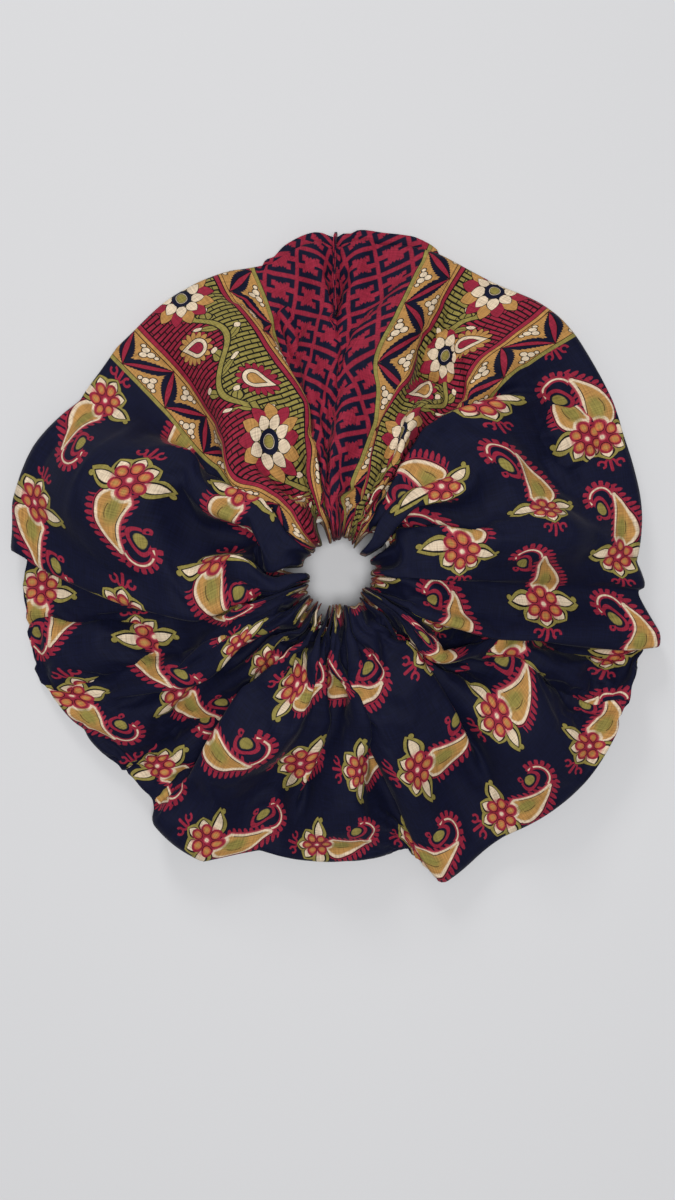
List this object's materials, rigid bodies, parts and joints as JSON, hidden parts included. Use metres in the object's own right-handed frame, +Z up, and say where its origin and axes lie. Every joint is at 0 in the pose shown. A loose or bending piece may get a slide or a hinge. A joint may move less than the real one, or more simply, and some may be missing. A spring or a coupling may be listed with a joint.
{
  "type": "hair scrunchie",
  "caption": "Large soft hair scrunchie: a wide ring of printed cloth gathered on an elastic loop, with a small opening that stretches to take the hair.",
  "frame": {"origin": "on the axis of the hair opening, at the surface that the ring lies on", "axes": "+Z up along the axis of the opening, +Y from the opening towards the closing seam, +X to the right seen from above"},
  "size_m": [0.2122, 0.2119, 0.034],
  "materials": {
    "border_cloth": "thin woven cloth with a soft sheen, printed with a crimson and navy key pattern",
    "field_cloth": "thin woven navy cloth with a soft sheen, printed with paisleys in ochre, olive, cream and crimson",
    "elastic": "matte white braided elastic",
    "light_thread": "pale spun polyester thread",
    "dark_thread": "navy spun polyester thread"
  },
  "bodies": {
    "right_half": {"cover_top_right": "border_cloth", "cover_upper_right": "field_cloth", "cover_lower_right": "field_cloth", "cover_bottom_right": "field_cloth", "elastic_right": "elastic", "elastic_lap_tacks": "light_thread", "closing_seam_edge_right": "border_cloth", "closing_seam_thread": "dark_thread", "rim_seam_edge_right": "field_cloth", "rim_seam_thread_right": "dark_thread", "opening_lip_right": "border_cloth", "opening_topstitch_right": "light_thread"},
    "left_half": {"cover_top_left": "border_cloth", "cover_upper_left": "field_cloth", "cover_lower_left": "field_cloth", "cover_bottom_left": "field_cloth", "elastic_left": "elastic", "closing_seam_edge_left": "border_cloth", "rim_seam_edge_left": "field_cloth", "rim_seam_thread_left": "dark_thread", "opening_lip_left": "border_cloth", "opening_topstitch_left": "light_thread"}
  },
  "joints": [
    {"name": "opening_stretch", "type": "slide", "parent": "right_half", "child": "left_half", "axis": [-1, 0, 0], "range_m": [0, 0.045], "stiffness_N_per_m": 80}
  ]
}
